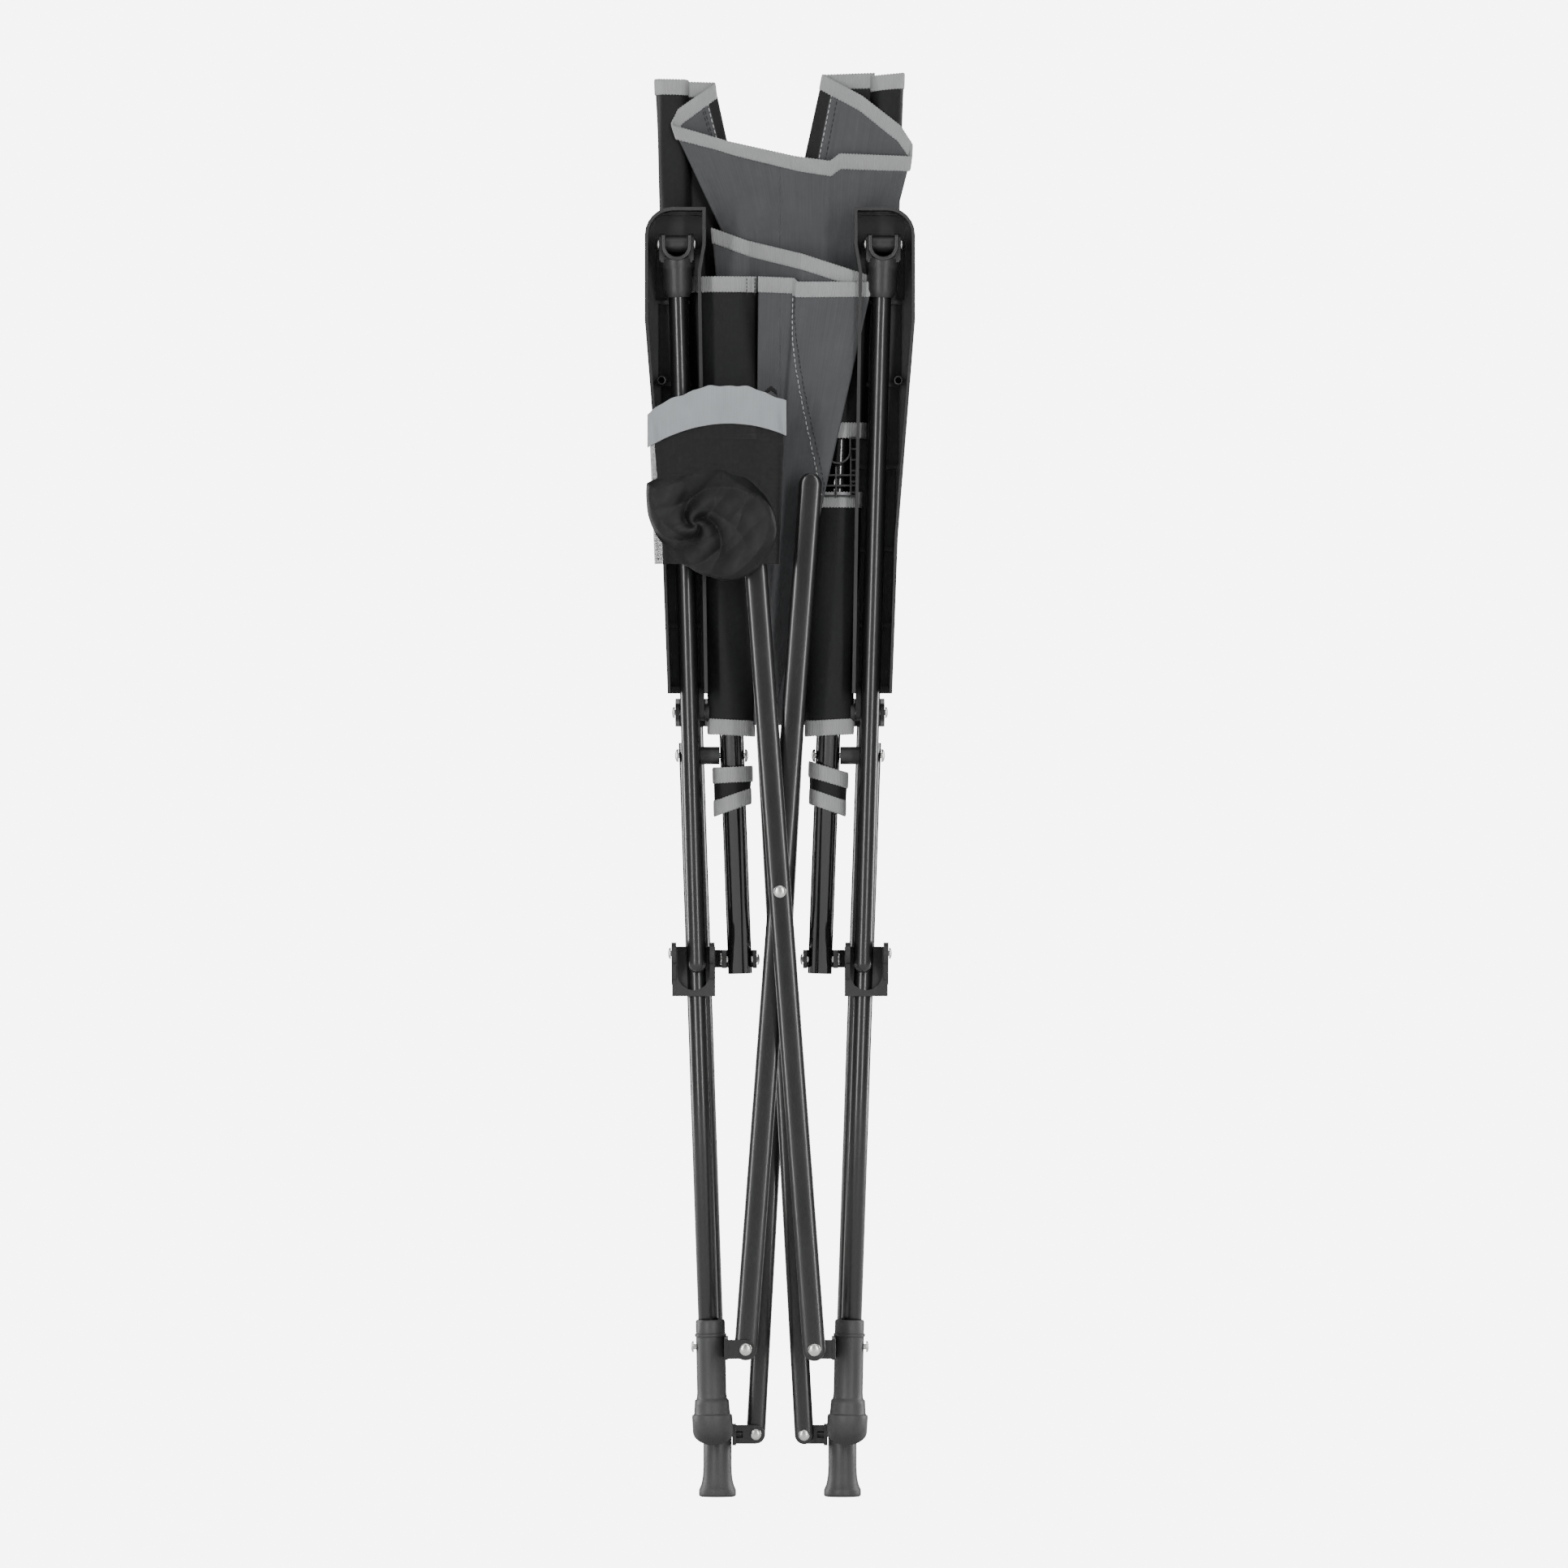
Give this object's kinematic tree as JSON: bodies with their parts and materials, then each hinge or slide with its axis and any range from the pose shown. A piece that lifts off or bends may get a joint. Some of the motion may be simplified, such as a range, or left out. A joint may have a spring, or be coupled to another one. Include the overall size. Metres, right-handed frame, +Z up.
{
  "type": "folding camp chair",
  "caption": "Quad folding camp chair, folded to an upright bundle: tube frame, scissor legs, fabric seat and back, hinged armrests, cup holder.",
  "frame": {"origin": "middle of the bounding box, on the plane of the rear feet soles", "axes": "+Z up along the folded bundle, +Y to the back of the chair, +X to the right of someone who looks at its front"},
  "size_m": [0.213, 0.1188, 1.1304],
  "materials": {
    "tube_paint": "glossy charcoal powder coat",
    "rail_paint": "high gloss black",
    "moulded_plastic": "satin moulded nylon",
    "foot_plastic": "satin dark grey",
    "zinc_steel": "zinc plated",
    "grey_fabric": "woven polyester",
    "black_fabric": "woven polyester",
    "band_fabric": "satin polyester"
  },
  "bodies": {
    "back_panel": {"back_fabric": "black_fabric"},
    "seat_panel": {"seat_fabric": "grey_fabric"},
    "cup_holder": {"cup_holder_bag": "black_fabric", "cup_holder_band": "band_fabric"},
    "left_post": {"left_back_post": "tube_paint", "left_rear_foot": "foot_plastic", "left_rear_foot_screw": "zinc_steel", "left_rail_clevis": "moulded_plastic", "left_rail_pivot_bolt": "zinc_steel", "left_arm_hinge": "moulded_plastic", "left_arm_hinge_bolt": "zinc_steel", "left_rear_x_bracket": "zinc_steel", "left_rear_x_rivet": "zinc_steel"},
    "left_rail": {"left_seat_rail": "rail_paint", "left_leg_pivot_bolt": "zinc_steel", "left_leg_spacer": "moulded_plastic", "left_rail_clip": "moulded_plastic"},
    "left_front_leg": {"left_front_leg": "tube_paint", "left_front_foot": "foot_plastic", "left_front_foot_screw": "zinc_steel"},
    "left_slider": {"left_leg_slider": "moulded_plastic", "left_slider_screw": "zinc_steel"},
    "left_front_bracket": {"left_front_x_bracket": "zinc_steel", "left_front_x_rivet": "zinc_steel"},
    "left_front_bar": {"left_front_x_bar": "tube_paint"},
    "left_arm": {"left_armrest": "moulded_plastic"},
    "left_support": {"left_arm_support": "tube_paint", "left_arm_knuckle": "moulded_plastic", "left_knuckle_bolt": "zinc_steel"},
    "left_rear_bar": {"left_rear_x_bar": "tube_paint", "rear_crossing_rivet": "zinc_steel"},
    "left_hub": {"left_rear_hub": "moulded_plastic"},
    "right_post": {"right_back_post": "tube_paint", "right_rear_foot": "foot_plastic", "right_rear_foot_screw": "zinc_steel", "right_rail_clevis": "moulded_plastic", "right_rail_pivot_bolt": "zinc_steel", "right_arm_hinge": "moulded_plastic", "right_arm_hinge_bolt": "zinc_steel", "right_rear_x_bracket": "zinc_steel", "right_rear_x_rivet": "zinc_steel"},
    "right_rail": {"right_seat_rail": "rail_paint", "right_leg_pivot_bolt": "zinc_steel", "right_leg_spacer": "moulded_plastic", "right_rail_clip": "moulded_plastic"},
    "right_front_leg": {"right_front_leg": "tube_paint", "right_front_foot": "foot_plastic", "right_front_foot_screw": "zinc_steel"},
    "right_slider": {"right_leg_slider": "moulded_plastic", "right_slider_screw": "zinc_steel"},
    "right_front_bracket": {"right_front_x_bracket": "zinc_steel", "right_front_x_rivet": "zinc_steel"},
    "right_front_bar": {"right_front_x_bar": "tube_paint", "front_crossing_rivet": "zinc_steel"},
    "right_arm": {"right_armrest": "moulded_plastic"},
    "right_support": {"right_arm_support": "tube_paint", "right_arm_knuckle": "moulded_plastic", "right_knuckle_bolt": "zinc_steel"},
    "right_rear_bar": {"right_rear_x_bar": "tube_paint"},
    "right_hub": {"right_rear_hub": "moulded_plastic"}
  },
  "joints": [
    {"name": "seat_fold", "type": "hinge", "parent": "back_panel", "child": "seat_panel", "pos_m": [0, 0.0166, 0.426], "axis": [1, 0, 0], "range_deg": [0, 80], "deforming": ["seat_fabric", "back_fabric", "cup_holder_bag", "cup_holder_band"]},
    {"name": "left_rail_spread", "type": "slide", "parent": "seat_panel", "child": "left_rail", "axis": [-1, 0, 0], "range_m": [0, 0.2485]},
    {"name": "left_post_spread", "type": "slide", "parent": "back_panel", "child": "left_post", "axis": [-1, 0, 0], "range_m": [0, 0.2485]},
    {"name": "left_leg_pivot", "type": "hinge", "parent": "left_rail", "child": "left_front_leg", "pos_m": [-0.0717, 0.0166, 0.587], "axis": [1, 0, 0], "range_deg": [-112, 0]},
    {"name": "left_slider_travel", "type": "slide", "parent": "left_front_leg", "child": "left_slider", "axis": [0.0339, 0, -0.9994], "range_m": [0, 0.2465]},
    {"name": "left_front_bracket_pivot", "type": "hinge", "parent": "left_front_leg", "child": "left_front_bracket", "pos_m": [-0.05587, 0.0166, 0.12], "axis": [1, 0, 0], "range_deg": [0, 31.1]},
    {"name": "left_front_bar_pivot", "type": "hinge", "parent": "left_front_bracket", "child": "left_front_bar", "pos_m": [-0.027, -0.02115, 0.12], "axis": [0, 1, 0], "range_deg": [0, 49.3]},
    {"name": "left_arm_pivot", "type": "hinge", "parent": "left_post", "child": "left_arm", "pos_m": [-0.06924, 0.0166, 0.621], "axis": [1, 0, 0], "range_deg": [0, 78.1]},
    {"name": "left_support_pivot", "type": "hinge", "parent": "left_arm", "child": "left_support", "pos_m": [-0.08151, -0.0014, 0.99], "axis": [1, 0, 0], "range_deg": [-80.3, 0]},
    {"name": "left_rear_bar_pivot", "type": "hinge", "parent": "left_post", "child": "left_rear_bar", "pos_m": [-0.0192, 0.0526, 0.049], "axis": [0, 1, 0], "range_deg": [0, 46.5]},
    {"name": "left_hub_travel", "type": "slide", "parent": "left_post", "child": "left_hub", "axis": [0.0334, 0, -0.9994], "range_m": [0, 0.246]},
    {"name": "right_rail_spread", "type": "slide", "parent": "seat_panel", "child": "right_rail", "axis": [1, 0, 0], "range_m": [0, 0.2485]},
    {"name": "right_post_spread", "type": "slide", "parent": "back_panel", "child": "right_post", "axis": [1, 0, 0], "range_m": [0, 0.2485]},
    {"name": "right_leg_pivot", "type": "hinge", "parent": "right_rail", "child": "right_front_leg", "pos_m": [0.0717, 0.0166, 0.587], "axis": [1, 0, 0], "range_deg": [-112, 0]},
    {"name": "right_slider_travel", "type": "slide", "parent": "right_front_leg", "child": "right_slider", "axis": [-0.0339, 0, -0.9994], "range_m": [0, 0.2465]},
    {"name": "right_front_bracket_pivot", "type": "hinge", "parent": "right_front_leg", "child": "right_front_bracket", "pos_m": [0.05587, 0.0166, 0.12], "axis": [1, 0, 0], "range_deg": [0, 31.1]},
    {"name": "right_front_bar_pivot", "type": "hinge", "parent": "right_front_bracket", "child": "right_front_bar", "pos_m": [0.027, -0.03165, 0.12], "axis": [0, -1, 0], "range_deg": [0, 49.3]},
    {"name": "right_arm_pivot", "type": "hinge", "parent": "right_post", "child": "right_arm", "pos_m": [0.06924, 0.0166, 0.621], "axis": [1, 0, 0], "range_deg": [0, 78.1]},
    {"name": "right_support_pivot", "type": "hinge", "parent": "right_arm", "child": "right_support", "pos_m": [0.08151, -0.0014, 0.99], "axis": [1, 0, 0], "range_deg": [-80.3, 0]},
    {"name": "right_rear_bar_pivot", "type": "hinge", "parent": "right_post", "child": "right_rear_bar", "pos_m": [0.0192, 0.0401, 0.049], "axis": [0, -1, 0], "range_deg": [0, 46.5]},
    {"name": "right_hub_travel", "type": "slide", "parent": "right_post", "child": "right_hub", "axis": [-0.0334, 0, -0.9994], "range_m": [0, 0.246]},
    {"name": "cup_holder_swing", "type": "hinge", "parent": "left_support", "child": "cup_holder", "pos_m": [-0.07777, -0.0014, 0.86], "axis": [0, 0, 1], "range_deg": [-90, 0]}
  ],
  "couplings": [
    {"joint": "left_rail_spread", "follows": "seat_fold", "m_per_rad": 0.1778},
    {"joint": "left_post_spread", "follows": "seat_fold", "m_per_rad": 0.1778},
    {"joint": "left_leg_pivot", "follows": "seat_fold", "ratio": -1.3975},
    {"joint": "left_slider_travel", "follows": "seat_fold", "m_per_rad": 0.17641},
    {"joint": "left_front_bracket_pivot", "follows": "seat_fold", "ratio": 0.3875},
    {"joint": "left_front_bar_pivot", "follows": "seat_fold", "ratio": 0.61413},
    {"joint": "left_arm_pivot", "follows": "seat_fold", "ratio": 0.975},
    {"joint": "left_support_pivot", "follows": "seat_fold", "ratio": -1.0021},
    {"joint": "left_rear_bar_pivot", "follows": "seat_fold", "ratio": 0.58008},
    {"joint": "left_hub_travel", "follows": "seat_fold", "m_per_rad": 0.17601},
    {"joint": "right_rail_spread", "follows": "seat_fold", "m_per_rad": 0.1778},
    {"joint": "right_post_spread", "follows": "seat_fold", "m_per_rad": 0.1778},
    {"joint": "right_leg_pivot", "follows": "seat_fold", "ratio": -1.3975},
    {"joint": "right_slider_travel", "follows": "seat_fold", "m_per_rad": 0.17641},
    {"joint": "right_front_bracket_pivot", "follows": "seat_fold", "ratio": 0.3875},
    {"joint": "right_front_bar_pivot", "follows": "seat_fold", "ratio": 0.61413},
    {"joint": "right_arm_pivot", "follows": "seat_fold", "ratio": 0.975},
    {"joint": "right_support_pivot", "follows": "seat_fold", "ratio": -1.0021},
    {"joint": "right_rear_bar_pivot", "follows": "seat_fold", "ratio": 0.58008},
    {"joint": "right_hub_travel", "follows": "seat_fold", "m_per_rad": 0.17601},
    {"joint": "cup_holder_swing", "follows": "seat_fold", "ratio": -1.1238}
  ]
}
